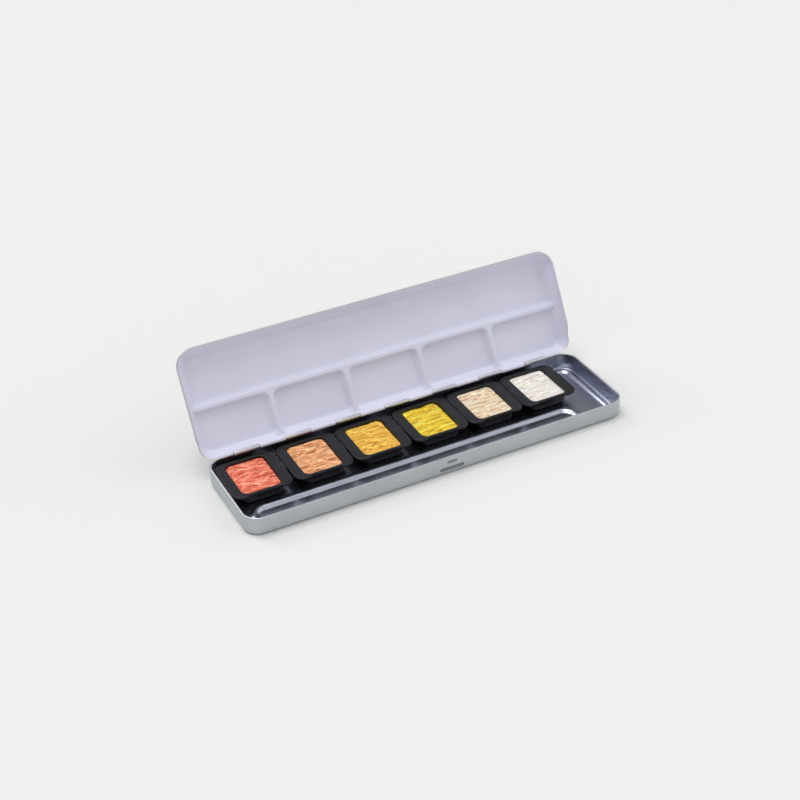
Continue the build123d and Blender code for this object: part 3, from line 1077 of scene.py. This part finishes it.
def make_paint(node, body, material, turn, lean, seed):
    """A paint block whose top is combed into ripples."""
    low, high = node_box(node)
    centre = (low + high) / 2
    half_x, half_y = (high - low)[:2] / 2 - CAKE_EASE
    corner = CAKE_CORNER - CAKE_EASE
    xs = spaced(-half_x, half_x, CAKE_STEP, CAKE_STEP, [])
    ys = spaced(-half_y, half_y, CAKE_STEP, CAKE_STEP, [])
    panel = Panel(xs, ys, corner)
    relief = ripple(panel.x, panel.y, lean, seed)
    calm = smooth_step(box_distance(panel.x, panel.y, half_x, half_y, corner) / CALM_WIDTH)
    depth = RELIEF_DEPTH * (CALM_SHARE + (1 - CALM_SHARE) * calm)
    top = high[2] - CAKE_SUNK + (relief - RELIEF_LEVEL) * depth
    edge = top[panel.ring]
    loops = [panel.loop(CAKE_EASE * share, edge - drop) for share, drop in CAKE_EDGE]
    loops.append(panel.loop(CAKE_EASE - CAKE_SIDE_INSET, high[2] - CAKE_SIDE_DROP))
    verts, faces = panel.shell(top, loops, np.full(len(top), low[2] + CAKE_FOOT_RISE))
    verts[-len(top) :, :2] *= CAKE_FOOT_SCALE
    x, y = turned_points(verts[:, 0], verts[:, 1], turn)
    block = build_mesh(node + "_block", np.column_stack([x + centre[0], y + centre[1], verts[:, 2]]), faces)
    values = np.ones(len(verts))
    values[: len(relief)] = relief
    values[len(relief) :] = RELIEF_ON_SIDES
    attribute = block.data.attributes.new("relief", "FLOAT", "POINT")
    attribute.data.foreach_set("value", values.astype(np.float32))
    block.data.materials.append(material)
    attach(block, body)
    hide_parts(node)


# Each paint's name, its colours in the creases (partly painted shade), between and on the crests (partly
# painted highlight), how many degrees its block is turned in the pan, and the lean of its ripples
PAINTS = [
    ("coral", (0.50, 0.06, 0.02), (0.90, 0.20, 0.11), (1.0, 0.40, 0.25), -0.5, -5),
    ("copper", (0.44, 0.16, 0.05), (0.86, 0.38, 0.16), (1.0, 0.62, 0.33), -0.1, -3),
    ("gold", (0.56, 0.24, 0.01), (0.92, 0.49, 0.05), (1.0, 0.72, 0.13), 0.1, -3),
    ("lemon", (0.56, 0.34, 0.01), (0.92, 0.63, 0.015), (1.0, 0.85, 0.10), 0.3, 3),
    ("champagne", (0.58, 0.42, 0.27), (0.92, 0.70, 0.48), (1.0, 0.93, 0.72), -0.2, -2),
    ("pearl", (0.70, 0.63, 0.55), (0.97, 0.90, 0.82), (1.0, 1.0, 0.97), 0.3, 8),
]
FIRST_SEED = 41
for index, (name, valley, middle, crest, turn, lean) in enumerate(PAINTS):
    number = index + 1
    make_pan(number)
    paint = pearl_paint(name, valley, middle, crest)
    make_paint(f"paint_{name}", f"pan_{number}", paint, turn, lean, FIRST_SEED + index)

frame["nodes"]["hinge_pin"].data.materials.clear()
frame["nodes"]["hinge_pin"].data.materials.append(TINPLATE)


# ---------------------------------------------------------------- stage, lights and camera

FLOOR_HALF = 4000
FLOOR_CORNERS = [(-1, -1), (1, -1), (1, 1), (-1, 1)]

# The room's brightness: at the horizon, and above it in front of the object and behind it
HORIZON = 0.7
ROOM_FRONT = 0.60
ROOM_BEHIND = 0.26

# Where the room changes, as parts of a direction: going from front to back, and upward
FRONT_TO_BACK = (-0.2, 0.5)
HORIZON_TO_ROOM = (0.12, 0.34)

CAMERA_LENS = 69.11
CAMERA_SENSOR = 36
CAMERA_PLACE = (-0.3127, -0.6003, 0.4803)
CAMERA_TURN = (56.36, 1.331, -27.503)


def studio_world():
    """A pale horizon, a lit room in front of the object and a dark one behind it."""
    world = bpy.data.worlds.new("studio")
    bpy.context.scene.world = world
    world.use_nodes = True
    tree = world.node_tree
    direction = tree.nodes.new("ShaderNodeTexCoord").outputs["Generated"]
    split = tree.nodes.new("ShaderNodeSeparateXYZ")
    tree.links.new(direction, split.inputs["Vector"])

    def ranged(axis, limits, low, high):
        node = tree.nodes.new("ShaderNodeMapRange")
        node.interpolation_type = "SMOOTHSTEP"
        for socket, value in zip(("From Min", "From Max", "To Min", "To Max"), (*limits, low, high)):
            node.inputs[socket].default_value = value
        tree.links.new(split.outputs[axis], node.inputs["Value"])
        return node.outputs["Result"]

    mix = tree.nodes.new("ShaderNodeMix")
    mix.inputs["A"].default_value = HORIZON
    tree.links.new(ranged("Y", FRONT_TO_BACK, ROOM_FRONT, ROOM_BEHIND), mix.inputs["B"])
    tree.links.new(ranged("Z", HORIZON_TO_ROOM, 0, 1), mix.inputs["Factor"])
    background = tree.nodes["Background"]
    background.inputs["Color"].default_value = (1, 1, 1, 1)
    tree.links.new(mix.outputs["Result"], background.inputs["Strength"])


def softbox(name, direction, spread, power):
    """A far, soft-edged light: a disc of sky about a direction."""
    light = bpy.data.lights.new(name, "SUN")
    light.energy = power
    light.angle = radians(spread)
    lamp = bpy.data.objects.new(name, light)
    lamp.rotation_euler = Vector(direction).to_track_quat("Z", "Y").to_euler()
    bpy.context.scene.collection.objects.link(lamp)


floor = build_mesh("floor", [(x * FLOOR_HALF, y * FLOOR_HALF, 0) for x, y in FLOOR_CORNERS], [(0, 1, 2, 3)])
floor.data.materials.append(Material("floor_paper", (0.81, 0.81, 0.805), roughness=0.9).material)

studio_world()
softbox("overhead_softbox", (-0.12, 0.2, 1), spread=36, power=1.28)
softbox("rear_softbox", (-0.35, 0.73, 0.62), spread=26, power=0.6)
softbox("right_softbox", (0.8, -0.15, 0.5), spread=60, power=0.5)

view = bpy.context.scene.view_settings
view.view_transform = "Standard"
view.look = "None"

camera_data = bpy.data.cameras.new("camera")
camera_data.lens = CAMERA_LENS
camera_data.sensor_width = CAMERA_SENSOR
camera = bpy.data.objects.new("camera", camera_data)
camera.location = CAMERA_PLACE
camera.rotation_euler = [radians(angle) for angle in CAMERA_TURN]
bpy.context.scene.collection.objects.link(camera)
bpy.context.scene.camera = camera
